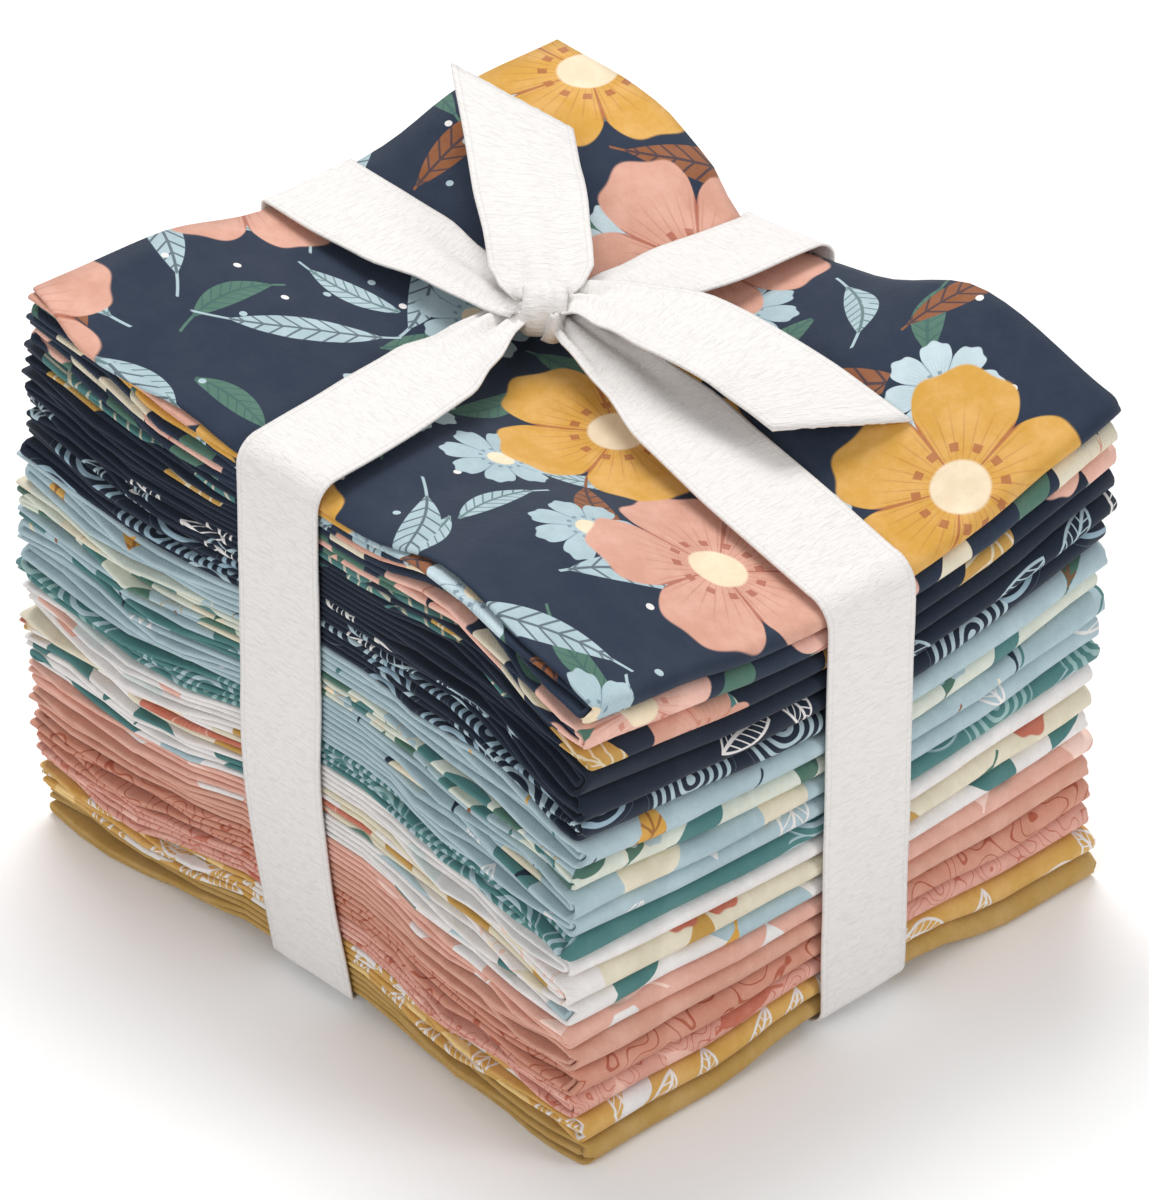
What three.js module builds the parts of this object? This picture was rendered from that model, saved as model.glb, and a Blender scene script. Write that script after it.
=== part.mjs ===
// A fat quarter bundle: twenty folded cuts of quilting cotton, tied both ways with one ribbon.
// Millimetres, +Z up. Everything is laid out from the front corner of the stack, at x = y = 0,
// and the finished group is then moved so that its origin lies under its middle.
// x runs along the rounded folds, y runs from the folds back to the cut ends.

import * as THREE from "three";

// Driving dimensions of the stack
const WIDTH = 117;
const DEPTH = 135;
const CLEARANCE = 0.4; // between neighbouring pieces
const PLY_GAP = 0.2; // between the layers of one folded piece
const LAYERS = 4; // back and forth in one folded piece
const PINCH = 1; // how far the ribbon draws each side of the stack in
const GROOVE = 3.2; // how far the ribbon lifts the underside

// Driving dimensions of the ribbon
const RIBBON_WIDE = 19.5;
const RIBBON_THICK = 1;
const RIBBON_OFF = CLEARANCE + RIBBON_THICK / 2 + 0.05; // its middle, off the cloth

// Colours of the ribbon
const RIBBON_TOP = "#f3f0ee";
const RIBBON_SIDE = "#e9e6e3";

// Lines along which the stack is measured. The ribbon lies between the two tie lines each way.
const ACROSS = [
  { name: "left", at: 0, tie: 0, outward: -1 },
  { name: "leftLobe", at: 28, tie: 0 },
  { name: "tieLeft", at: 50, tie: 1 },
  { name: "tieRight", at: 76, tie: 1 },
  { name: "rightLobe", at: 96, tie: 0 },
  { name: "right", at: WIDTH, tie: 0, outward: 1 },
];

// Height of the top of the stack along each line, a row from each place along y
const TOP = [
  { at: 2.4, tie: 0, left: 93, leftLobe: 89, tieLeft: 85.5, tieRight: 86.5, rightLobe: 92, right: 97.5 },
  { at: 32, tie: 0, left: 102.5, leftLobe: 98, tieLeft: 89.5, tieRight: 91, rightLobe: 99.5, right: 103.5 },
  { at: 57, tie: 1, left: 99.2, leftLobe: 96.1, tieLeft: 90, tieRight: 91.7, rightLobe: 95.3, right: 97.3 },
  { at: 86, tie: 1, left: 100.5, leftLobe: 98, tieLeft: 92.5, tieRight: 93, rightLobe: 94, right: 93.5 },
  { at: 97, tie: 0.4, left: 101, leftLobe: 100.5, tieLeft: 95, tieRight: 96, rightLobe: 99, right: 101 },
  { at: 110, tie: 0, left: 102, leftLobe: 102, tieLeft: 97.5, tieRight: 98.5, rightLobe: 102.5, right: 104 },
  { at: DEPTH, tie: 0, left: 107, leftLobe: 106, tieLeft: 101, tieRight: 102, rightLobe: 105.5, right: 105.5 },
];

// The folded pieces from the top down: how thick each lies with its clearance,
// and how far each side of it stands out of the stack
const FABRICS = [
  { tone: "#344154", thick: 4.9, left: 0, right: 1.2, front: 0, back: 0 },
  { tone: "#cfc3ae", thick: 5.2, left: 0.6, right: 0, front: 0.2, back: 0.4 },
  { tone: "#2f3a4b", thick: 5.0, left: 1.2, right: 0.6, front: 0, back: 1.0 },
  { tone: "#2c3646", thick: 4.9, left: 1.3, right: 0.6, front: -0.3, back: 1.2 },
  { tone: "#3c4757", thick: 5.1, left: 1.2, right: 1.0, front: 0, back: 1.4 },
  { tone: "#5d7387", thick: 5.3, left: 1.6, right: -0.4, front: -0.8, back: 1.3 },
  { tone: "#a9bfc6", thick: 5.7, left: 1.8, right: -0.2, front: -0.6, back: 1.8 },
  { tone: "#b9c7bd", thick: 4.9, left: 2.0, right: -0.8, front: -1.6, back: 2.2 },
  { tone: "#a3bcc2", thick: 5.1, left: 2.4, right: 0.6, front: -0.9, back: 2.4 },
  { tone: "#a9bfc8", thick: 5.1, left: 2.3, right: 0.2, front: -1.4, back: 2.3 },
  { tone: "#5b857f", thick: 4.9, left: 2.4, right: 0.2, front: -1.8, back: 2.4 },
  { tone: "#e4dedb", thick: 4.9, left: 2.1, right: -0.4, front: -2.2, back: 2.2 },
  { tone: "#ddd4bd", thick: 5.3, left: 2.2, right: -0.8, front: -2.4, back: 2.0 },
  { tone: "#e6e3e6", thick: 4.9, left: 1.9, right: -0.8, front: -2.6, back: 1.9 },
  { tone: "#dba897", thick: 5.0, left: 1.7, right: -0.2, front: -2.2, back: 1.8 },
  { tone: "#d39f8b", thick: 5.1, left: 1.8, right: -0.4, front: -2.0, back: 1.6 },
  { tone: "#c98a75", thick: 5.3, left: 1.5, right: -0.2, front: -1.8, back: 1.5 },
  { tone: "#d08d79", thick: 4.9, left: 1.1, right: -0.6, front: -1.8, back: 1.2 },
  { tone: "#cfa45c", thick: 5.2, left: 0.7, right: 0, front: -1.0, back: 0.8 },
  { tone: "#b5914f", thick: 5.2, left: 0.2, right: 0.2, front: -0.4, back: 0.2 },
];
const HEIGHT = FABRICS.reduce((sum, fabric) => sum + fabric.thick, 0);

// The knot, a short barrel of wrapped ribbon, lying across the crossing of the straps
const KNOT = {
  x: 65.7, y: 82.4, z: 98.6, long: 8.4, wide: 9.2, high: 8.4, end: 6.8,
  shoulder: 0.87, bulge: 0.76, belly: 0.28, sides: 14,
};
const KNOT_TURN = THREE.MathUtils.degToRad(-43.3); // its axis, from +X
const TUCK = { along: 1, out: 6.05, drop: 1.6, wide: 5, high: 6, sag: 0.7, tip: 1.8, lean: 0.1, thick: 1.1 };

// Straps over the top of the stack, from the knot out to each edge
const STRAP_LEFT = [
  { x: 59.7, y: 84.8, z: 97.9, wide: 5.2, pleat: 0.6, roll: 0 },
  { x: 50, y: 83.2, z: 98, wide: 13, pleat: 0.5, roll: 0 },
  { x: 40, y: 81, z: 98.5, wide: 18.5, pleat: 0.2, roll: 0 },
  { x: 22, y: 77.5, z: 99.7, wide: RIBBON_WIDE, pleat: 0, roll: 0 },
];
const STRAP_RIGHT = [
  { x: 96, y: 76.5, z: 96.9, wide: RIBBON_WIDE, pleat: 0, roll: 8 },
  { x: 84, y: 78, z: 97.5, wide: 15, pleat: 0.4, roll: 4 },
  { x: 71.9, y: 80.5, z: 98.2, wide: 5.6, pleat: 0.6, roll: 0 },
];
const STRAP_FRONT = [
  { x: 67.2, y: 74.4, z: 96.7, wide: 7.2, pleat: 0.6, roll: 0 },
  { x: 66.3, y: 62, z: 95.2, wide: 14, pleat: 0.5, roll: 0 },
  { x: 64.5, y: 48, z: 93.6, wide: 18.5, pleat: 0.1, roll: 0 },
  { x: 62.5, y: 28, z: 91.1, wide: RIBBON_WIDE, pleat: 0, roll: 0 },
];
const STRAP_BACK = [
  { x: 60.5, y: 124, z: 101.3, wide: RIBBON_WIDE, pleat: 0, roll: 0 },
  { x: 61.5, y: 112, z: 100.4, wide: 18.5, pleat: 0.1, roll: 0 },
  { x: 62.5, y: 100, z: 99.4, wide: 13.5, pleat: 0.5, roll: 0 },
  { x: 63.6, y: 88.6, z: 98.5, wide: 7.2, pleat: 0.6, roll: 0 },
];

// Where each strap's middle crosses the edge of the stack. Below slantFrom the left one slants
// toward the folds, and its middle turns under the stack at foot.
const EDGE_LEFT = { along: 74.8, top: 100.2, foot: 67.9, slantFrom: 38 };
const EDGE_RIGHT = { along: 75.5, top: 95.5, roll: 11 };
const EDGE_FRONT = { along: 61.6, top: 86.1 };
const EDGE_BACK = { along: 60, top: 101.2 };
const TILT_START = 2; // the right strap starts to tilt this far below the edge

// Under the stack the long band passes beneath the cross band between these two ramps
const UNDERPASS = { from: 44, to: 82, ramp: 5, drop: RIBBON_THICK + CLEARANCE };

// The two free ends, from the knot to the slanted cut
const TAIL_BACK = [
  { x: 68.8, y: 85.7, z: 101.4, wide: 14.5, pleat: 0.5, roll: 0, skew: 0 },
  { x: 74, y: 92.5, z: 104, wide: 18, pleat: 0.3, roll: 4, skew: 0 },
  { x: 81, y: 102, z: 105.8, wide: RIBBON_WIDE, pleat: 0.1, roll: 8, skew: 0 },
  { x: 89, y: 113, z: 107.6, wide: RIBBON_WIDE, pleat: 0, roll: 12, skew: 8 },
  { x: 95, y: 121.5, z: 109.6, wide: RIBBON_WIDE, pleat: 0, roll: 12, skew: 14 },
];
const TAIL_FRONT = [
  { x: 70.2, y: 78.3, z: 100.5, wide: 7.4, pleat: 0.4, roll: 0, skew: 0 },
  { x: 73, y: 71, z: 101.1, wide: 15, pleat: 0.3, roll: 0, skew: 0 },
  { x: 75.5, y: 60, z: 102, wide: RIBBON_WIDE, pleat: 0.1, roll: 0, skew: 0 },
  { x: 77, y: 48, z: 101.5, wide: RIBBON_WIDE, pleat: 0, roll: 0, skew: 0 },
  { x: 78.5, y: 37, z: 99.6, wide: RIBBON_WIDE, pleat: 0, roll: 4, skew: 8 },
  { x: 80, y: 26, z: 96.9, wide: RIBBON_WIDE, pleat: 0, roll: 7, skew: 14 },
];
const TAIL_STEPS = 12;

const UP = new THREE.Vector3(0, 0, 1);

// Where a value lies among the stops of a list: the stop before it, and the part of the way on
function between(stops, value) {
  let before = 0;
  while (before < stops.length - 2 && value > stops[before + 1].at) before += 1;
  const span = stops[before + 1].at - stops[before].at;
  return { before, part: (value - stops[before].at) / span };
}

// Height of the top of the stack over a point of it. Past the sides and the back its slope
// goes on, and before the first row it is level.
function topHeight(x, y) {
  const column = between(ACROSS, x);
  const row = between(TOP, Math.max(y, TOP[0].at));
  const along = (line) => THREE.MathUtils.lerp(
    line[ACROSS[column.before].name], line[ACROSS[column.before + 1].name], column.part);
  return THREE.MathUtils.lerp(along(TOP[row.before]), along(TOP[row.before + 1]), row.part);
}

// How strongly the ribbon holds the stack at a place along one way: 1 under it, 0 in the open
function tieAt(stops, value) {
  const { before, part } = between(stops, value);
  const { tie } = stops[before];
  return THREE.MathUtils.lerp(tie, stops[before + 1].tie, THREE.MathUtils.clamp(part, 0, 1));
}

// Height of a level of the stack: lifted under the ribbon at the bottom, following TOP at the top
function settle(x, y, level) {
  const share = level / HEIGHT;
  const lift = GROOVE * Math.max(tieAt(ACROSS, x), tieAt(TOP, y));
  return THREE.MathUtils.lerp(lift, topHeight(x, y), share);
}

// The way of one layered strip through its folds, seen along the rounded fold: the middle
// of the strip at each stop, and the way its outer side faces. The strip comes in from the
// back at the top, turns over at the front, turns up at the back and turns again inside.
function foldedWay(thick) {
  const ply = (thick - (LAYERS - 1) * PLY_GAP) / LAYERS;
  const pitch = ply + PLY_GAP;
  const middle = thick / 2;
  const fold = Math.max(TOP[0].at, middle); // where the flat of every layer starts
  const backTurn = DEPTH - ply - PLY_GAP / 2;
  const stops = TOP.slice(1, -1).map((line) => line.at);

  const flat = (places, layer, faces) => places
    .map((y) => ({ y, level: ply / 2 + layer * pitch, outY: 0, outUp: faces }));
  const turn = (y, level, radius, angles, faces) => angles.map((degrees) => {
    const angle = THREE.MathUtils.degToRad(degrees);
    const [outY, outUp] = [Math.cos(angle), Math.sin(angle)];
    return {
      y: y + radius * outY, level: level + radius * outUp, outY: faces * outY, outUp: faces * outUp,
    };
  });
  const stopsForward = stops.slice().reverse();
  return {
    ply,
    fold,
    way: [
      ...flat([DEPTH, ...stopsForward, fold], 3, 1),
      ...turn(fold, middle, middle - ply / 2, [135, 180, 225], 1),
      ...flat([fold, ...stops, backTurn], 0, -1),
      ...turn(backTurn, pitch / 2 + ply / 2, pitch / 2, [0], 1),
      ...flat([backTurn, ...stopsForward, fold], 1, 1),
      ...turn(fold, middle, pitch / 2, [180], -1),
      ...flat([fold, ...stops, DEPTH], 2, -1),
    ],
  };
}

// Splits every four-cornered patch along the diagonal that runs toward +x and +y,
// so that neighbouring layers bend alike and keep their gap
function splitAlike(geometry) {
  const position = geometry.attributes.position;
  for (let i = 0; i < position.count; i += 6) {
    const [a, b, d, , c] = [0, 1, 2, 3, 4]
      .map((k) => new THREE.Vector3().fromBufferAttribute(position, i + k));
    if ((b.x - d.x) * (b.y - d.y) < 0) {
      [a, b, c, a, c, d].forEach((p, k) => position.setXYZ(i + k, p.x, p.y, p.z));
    }
  }
}

// One folded piece, resting at a level of the stack: a long thin box, bent along its way
function foldedPiece(fabric, level) {
  const { way, ply, fold } = foldedWay(fabric.thick - CLEARANCE);
  const bends = way.length - 1;
  const bays = ACROSS.length - 1;
  const geometry = new THREE.BoxGeometry(1, 1, 1, bends, 1, bays).toNonIndexed();
  const position = geometry.attributes.position;
  for (let i = 0; i < position.count; i += 1) {
    const stop = way[Math.round((position.getX(i) + 0.5) * bends)];
    const line = ACROSS[Math.round((0.5 - position.getZ(i)) * bays)];
    const out = position.getY(i) * ply;
    const atFront = stop.y <= fold ? 1 : 0;
    const atBack = stop.y >= DEPTH - 2 * ply ? 1 : 0;
    const forward = THREE.MathUtils.lerp(fabric.front, -PINCH, line.tie);
    const backward = THREE.MathUtils.lerp(fabric.back, -PINCH, line.tie);
    const y = stop.y + out * stop.outY - atFront * forward + atBack * backward;
    const sideways = THREE.MathUtils.lerp(fabric[line.name] ?? 0, -PINCH, tieAt(TOP, y));
    const x = line.at + (line.outward ?? 0) * sideways;
    position.setXYZ(i, x, y, settle(x, y, level + stop.level + out * stop.outUp));
  }
  splitAlike(geometry);
  geometry.computeVertexNormals();
  return geometry;
}

// A run of rows made smooth, with every other column passed along evenly
function smoothRun(rows, steps) {
  const curve = new THREE.CatmullRomCurve3(rows.map(({ x, y, z }) => new THREE.Vector3(x, y, z)));
  return Array.from({ length: steps + 1 }, (_, i) => {
    const place = (i / steps) * (rows.length - 1);
    const before = Math.min(Math.floor(place), rows.length - 2);
    const mixed = {};
    for (const key of Object.keys(rows[0])) {
      mixed[key] = THREE.MathUtils.lerp(rows[before][key], rows[before + 1][key], place - before);
    }
    const { x, y, z } = curve.getPoint(i / steps);
    return { ...mixed, x, y, z };
  });
}

// A strip of ribbon along a run of rows. A gathered stretch has a small pleat along it,
// and a skewed one leads on one side. sideOf gives the way the strip's width points.
function ribbonStrip(rows, sideOf) {
  const folds = [-0.5, -0.25, 0, 0.25, 0.5];
  const section = new THREE.Shape([
    ...folds.map((across) => new THREE.Vector2(across, -0.5)),
    ...folds.slice().reverse().map((across) => new THREE.Vector2(across, 0.5)),
  ]);
  const steps = rows.length - 1;
  const geometry = new THREE.ExtrudeGeometry(section, { depth: 1, steps, bevelEnabled: false });
  const frames = rows.map((row, i) => {
    const at = (k) => new THREE.Vector3(rows[k].x, rows[k].y, rows[k].z);
    const along = at(Math.min(i + 1, steps)).sub(at(Math.max(i - 1, 0))).normalize();
    const side = sideOf(along).applyAxisAngle(along, THREE.MathUtils.degToRad(row.roll ?? 0));
    return { ...row, along, side, up: along.clone().cross(side), place: at(i) };
  });
  const position = geometry.attributes.position;
  for (let i = 0; i < position.count; i += 1) {
    const frame = frames[Math.round(position.getZ(i) * steps)];
    const across = position.getX(i);
    const crest = (frame.pleat ?? 0) * Math.cos(4 * Math.PI * across);
    const point = frame.place.clone()
      .addScaledVector(frame.side, across * frame.wide)
      .addScaledVector(frame.along, across * (frame.skew ?? 0))
      .addScaledVector(frame.up, position.getY(i) * RIBBON_THICK + crest);
    position.setXYZ(i, point.x, point.y, point.z);
  }
  geometry.computeVertexNormals();
  return geometry;
}

// A quarter turn of a band about an edge of the stack, in the plane of out and up.
// It starts at startAngle, counted from out toward up.
function aroundEdge(out, up, radius, startAngle, endAngle, parts) {
  return Array.from({ length: parts + 1 }, (_, i) => {
    const angle = THREE.MathUtils.degToRad(THREE.MathUtils.lerp(startAngle, endAngle, i / parts));
    return { out: out + radius * Math.cos(angle), up: up + radius * Math.sin(angle) };
  });
}

// The band along x: from the knot over the left edge, under the stack and back over the right
function longBand() {
  const full = { wide: RIBBON_WIDE, pleat: 0 };
  const nearEnd = PINCH;
  const farEnd = WIDTH - PINCH;
  const [left, right] = [EDGE_LEFT, EDGE_RIGHT];
  const floor = GROOVE - RIBBON_OFF;
  const toRow = (edge, roll) => ({ out, up }) => ({ ...full, x: out, y: edge.along, z: up, roll });
  const under = [
    { x: UNDERPASS.from, z: floor },
    { x: UNDERPASS.from + UNDERPASS.ramp, z: floor - UNDERPASS.drop },
    { x: UNDERPASS.to - UNDERPASS.ramp, z: floor - UNDERPASS.drop },
    { x: UNDERPASS.to, z: floor },
  ].map(({ x, z }) => ({
    ...full, x, z, roll: 0, y: THREE.MathUtils.lerp(left.foot, right.along, x / WIDTH),
  }));
  const rightTop = aroundEdge(farEnd, right.top, RIBBON_OFF, 0, 90, 2).map(toRow(right, 0));
  rightTop[1].roll = right.roll / 2;
  rightTop[2].roll = right.roll;
  rightTop[0].z -= TILT_START;
  return [
    ...STRAP_LEFT,
    ...aroundEdge(nearEnd, left.top, RIBBON_OFF, 90, 180, 2).map(toRow(left, 0)),
    { ...full, x: nearEnd - RIBBON_OFF, y: left.along, z: left.slantFrom, roll: 0 },
    ...aroundEdge(nearEnd, GROOVE, RIBBON_OFF, 180, 270, 2).map(toRow({ along: left.foot }, 0)),
    ...under,
    ...aroundEdge(farEnd, GROOVE, RIBBON_OFF, 270, 360, 2).map(toRow(right, 0)),
    ...rightTop,
    ...STRAP_RIGHT,
  ];
}

// The band along y: from the knot over the rounded folds, under the stack and up the back
function crossBand() {
  const full = { wide: RIBBON_WIDE, pleat: 0, roll: 0 };
  const foldMiddle = TOP[0].at + PINCH;
  const round = TOP[0].at + RIBBON_OFF;
  const farEnd = DEPTH - PINCH;
  const toRow = (edge) => ({ out, up }) => ({ ...full, y: out, x: edge.along, z: up });
  return [
    ...STRAP_FRONT,
    ...aroundEdge(foldMiddle, EDGE_FRONT.top - TOP[0].at, round, 90, 180, 3).map(toRow(EDGE_FRONT)),
    ...aroundEdge(foldMiddle, GROOVE + TOP[0].at, round, 180, 270, 3).map(toRow(EDGE_FRONT)),
    ...aroundEdge(farEnd, GROOVE, RIBBON_OFF, 270, 360, 2).map(toRow(EDGE_BACK)),
    ...aroundEdge(farEnd, EDGE_BACK.top, RIBBON_OFF, 0, 90, 2).map(toRow(EDGE_BACK)),
    ...STRAP_BACK,
  ];
}

// The knot's barrel, turned along its axis and flattened a little
function knotBarrel() {
  const [half, wide, end] = [KNOT.long / 2, KNOT.wide / 2, KNOT.end / 2];
  const profile = [
    [0, -half], [end, -half], [KNOT.shoulder * wide, -KNOT.bulge * half], [wide, -KNOT.belly * half],
    [wide, KNOT.belly * half], [KNOT.shoulder * wide, KNOT.bulge * half], [end, half], [0, half],
  ].map(([r, along]) => new THREE.Vector2(r, along));
  const geometry = new THREE.LatheGeometry(profile, KNOT.sides);
  geometry.rotateZ(-Math.PI / 2);
  geometry.scale(1, 1, KNOT.high / KNOT.wide);
  return geometry;
}

// The small folded triangle that stands against the knot's near side
function knotTuck() {
  const { wide, high, sag, tip, lean, thick } = TUCK;
  const shape = new THREE.Shape();
  shape.moveTo(-wide / 2, -high / 2);
  shape.quadraticCurveTo(0, -high / 2 - sag, wide / 2, -high / 2);
  shape.lineTo(tip / 2 + lean, high / 2);
  shape.lineTo(-tip / 2 + lean, high / 2);
  shape.closePath();
  const geometry = new THREE.ExtrudeGeometry(shape, {
    depth: thick, bevelEnabled: false, curveSegments: 4,
  });
  geometry.rotateX(Math.PI / 2);
  geometry.translate(0, thick, 0);
  return geometry;
}

function piece(name, geometry, color) {
  const material = new THREE.MeshStandardMaterial({ color, roughness: 0.9, metalness: 0 });
  const mesh = new THREE.Mesh(geometry, material);
  mesh.name = name;
  return mesh;
}

const bundle = new THREE.Group();

let level = HEIGHT;
FABRICS.forEach((fabric, i) => {
  level -= fabric.thick;
  const number = String(i + 1).padStart(2, "0");
  bundle.add(piece(`fat_quarter_${number}`, foldedPiece(fabric, level), fabric.tone));
});

const alongY = () => new THREE.Vector3(0, 1, 0);
const alongX = () => new THREE.Vector3(1, 0, 0);
const levelWith = (along) => new THREE.Vector3().crossVectors(UP, along).normalize();
bundle.add(piece("ribbon_long_band", ribbonStrip(longBand(), alongY), RIBBON_SIDE));
bundle.add(piece("ribbon_cross_band", ribbonStrip(crossBand(), alongX), RIBBON_SIDE));
bundle.add(piece("ribbon_back_end", ribbonStrip(smoothRun(TAIL_BACK, TAIL_STEPS), levelWith), RIBBON_TOP));
bundle.add(piece("ribbon_front_end", ribbonStrip(smoothRun(TAIL_FRONT, TAIL_STEPS), levelWith), RIBBON_TOP));

const knot = new THREE.Group();
knot.position.set(KNOT.x, KNOT.y, KNOT.z);
knot.rotation.z = KNOT_TURN;
knot.add(piece("ribbon_knot", knotBarrel(), RIBBON_TOP));
const tuck = piece("ribbon_tuck", knotTuck(), RIBBON_TOP);
tuck.position.set(TUCK.along, -TUCK.out, -TUCK.drop);
knot.add(tuck);
bundle.add(knot);

// The origin lies under the middle of the bundle, at the height of the surface it rests on
const extent = new THREE.Box3().setFromObject(bundle);
const middle = extent.getCenter(new THREE.Vector3());
bundle.position.set(-middle.x, -middle.y, -extent.min.z);

export default bundle;
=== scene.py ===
"""A fat quarter bundle: twenty folded cuts of printed quilting cotton, tied both ways with one
ribbon. Lengths in the tables are millimetres, counted from the front corner of the stack: x runs
along the rounded folds, y from the folds back to the cut ends, z up from the table."""

import functools
import math

import bmesh
import bpy
from bpy.props import FloatProperty, FloatVectorProperty, PointerProperty
from mathutils import Matrix, Vector, noise


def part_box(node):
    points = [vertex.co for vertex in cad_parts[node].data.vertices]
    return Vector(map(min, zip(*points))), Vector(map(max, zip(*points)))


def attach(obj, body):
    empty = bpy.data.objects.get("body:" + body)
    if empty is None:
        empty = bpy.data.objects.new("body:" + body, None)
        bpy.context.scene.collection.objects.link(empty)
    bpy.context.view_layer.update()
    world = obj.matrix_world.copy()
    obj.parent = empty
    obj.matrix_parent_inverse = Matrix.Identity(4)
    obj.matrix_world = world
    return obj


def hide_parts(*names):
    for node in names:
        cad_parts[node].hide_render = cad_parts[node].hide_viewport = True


bl_info = {
    "name": "Fat Quarter Bundle",
    "version": (1, 0, 0),
    "blender": (4, 5, 0),
    "location": "View3D > Sidebar > Bundle",
    "description": "Adds a ribbon-tied bundle of folded fat quarters",
    "category": "Object",
}

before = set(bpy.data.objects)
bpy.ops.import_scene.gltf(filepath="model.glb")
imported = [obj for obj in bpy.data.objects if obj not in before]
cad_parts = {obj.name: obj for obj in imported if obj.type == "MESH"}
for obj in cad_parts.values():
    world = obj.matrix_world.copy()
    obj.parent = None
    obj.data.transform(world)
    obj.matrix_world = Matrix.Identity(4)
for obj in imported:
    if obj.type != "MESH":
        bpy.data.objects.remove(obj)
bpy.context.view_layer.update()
MM = 0.001

# ---- Measures of the stack ----

WIDTH = 117
DEPTH = 135
CLEARANCE = 0.35  # between neighbouring pieces
PLY_GAP = 0.2  # between the layers of one folded piece
LAYERS = 4  # back and forth in one folded piece
PLIES = 4  # of cloth in each layer, from the first folds
PINCH = 1  # how far the ribbon draws each side of the stack in
GROOVE = 3.2  # how far the ribbon lifts the underside
FOLD = 2.4  # where the flat of every layer starts
LEFT_LOBE, RIGHT_LOBE = 28, 96  # x of the lines where the open stretches begin
FRONT_LOBE, BACK_LOBE = 32, 110  # y of the same

ACROSS = (  # x, how firmly it is tied
    (0, 0), (LEFT_LOBE, 0), (50, 1), (76, 1), (RIGHT_LOBE, 0), (WIDTH, 0),
)
ALONG = (  # y, the same
    (FOLD, 0), (FRONT_LOBE, 0), (57, 1), (86, 1), (97, 0.4), (BACK_LOBE, 0), (DEPTH, 0),
)
TOP = (  # height of the stack over each x above, a row for each y
    (93, 89, 85.5, 86.5, 92, 97.5),
    (102.5, 98, 89.5, 91, 99.5, 103.5),
    (99.2, 96.1, 90, 91.7, 95.3, 97.3),
    (100.5, 98, 92.5, 93, 94, 93.5),
    (101, 100.5, 95, 96, 99, 101),
    (102, 102, 97.5, 98.5, 102.5, 104),
    (107, 106, 101, 102, 105.5, 105.5),
)

# thickness with its clearance, and how far each side stands out: left, right, front, back
CLOTHS = (
    (4.9, 0, 1.2, 0, 0),
    (5.2, 0.6, 0, 0.2, 0.4),
    (5.0, 1.2, 0.6, 0, 1.0),
    (4.9, 1.3, 0.6, -0.3, 1.2),
    (5.1, 1.2, 1.0, 0, 1.4),
    (5.3, 1.6, -0.4, -0.8, 1.3),
    (5.7, 1.8, -0.2, -0.6, 1.8),
    (4.9, 2.0, -0.8, -1.6, 2.2),
    (5.1, 2.4, 0.6, -0.9, 2.4),
    (5.1, 2.3, 0.2, -1.4, 2.3),
    (4.9, 2.4, 0.2, -1.8, 2.4),
    (4.9, 2.1, -0.4, -2.2, 2.2),
    (5.3, 2.2, -0.8, -2.4, 2.0),
    (4.9, 1.9, -0.8, -2.6, 1.9),
    (5.0, 1.7, -0.2, -2.2, 1.8),
    (5.1, 1.8, -0.4, -2.0, 1.6),
    (5.3, 1.5, -0.2, -1.8, 1.5),
    (4.9, 1.1, -0.6, -1.8, 1.2),
    (5.2, 0.7, 0, -1.0, 0.8),
    (5.2, 0.2, 0.2, -0.4, 0.2),
)
HEIGHT = sum(row[0] for row in CLOTHS)

RIBBON_WIDE = 19.5
UV_SPAN = 540  # millimetres of cloth or ribbon across the whole UV square

# The stack's front corner in the frame: the cover ends at its left side and at its back
COVER_LOW, COVER_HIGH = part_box("fat_quarter_01")
CORNER = Vector((COVER_LOW[0] / MM, COVER_HIGH[1] / MM - DEPTH, 0))


def placed(x, y, z):
    """A point of the stack as a point of the frame, in metres."""
    return (Vector((x, y, z)) + CORNER) * MM


# ---- How the cloth lies ----


def lerp(a, b, part):
    return a + (b - a) * part


def clamp(value, low=0.0, high=1.0):
    return max(low, min(high, value))


def smooth(part):
    part = clamp(part)
    return part * part * (3 - 2 * part)


def span_of(stops, value):
    """The stop before a value, and the part of the way to the next one."""
    before = 0
    while before < len(stops) - 2 and value > stops[before + 1]:
        before += 1
    return before, clamp((value - stops[before]) / (stops[before + 1] - stops[before]))


def curve(start, slope_in, end, slope_out, part):
    """A part of the way along a smooth curve, for numbers or for points."""
    p2, p3 = part**2, part**3
    return (
        start * (2 * p3 - 3 * p2 + 1) + slope_in * (p3 - 2 * p2 + part)
        + end * (3 * p2 - 2 * p3) + slope_out * (p3 - p2)
    )


def eased(stops, values, value):
    """A smooth curve through the values at the stops."""
    i, part = span_of(stops, value)
    width = stops[i + 1] - stops[i]

    def slope(k):
        low, high = max(k - 1, 0), min(k + 1, len(stops) - 1)
        return (values[high] - values[low]) / (stops[high] - stops[low])

    return curve(values[i], slope(i) * width, values[i + 1], slope(i + 1) * width, part)


X_STOPS = [x for x, _ in ACROSS]
Y_STOPS = [y for y, _ in ALONG]
MARGIN = 5  # millimetres of the height map around the stack
HEIGHTS = []
for map_y in range(-MARGIN, DEPTH + MARGIN + 1):
    HEIGHTS.append([])
    for map_x in range(-MARGIN, WIDTH + MARGIN + 1):
        column = [eased(X_STOPS, row, clamp(map_x, 0, WIDTH)) for row in TOP]
        HEIGHTS[-1].append(eased(Y_STOPS, column, clamp(map_y, FOLD, DEPTH)))


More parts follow.
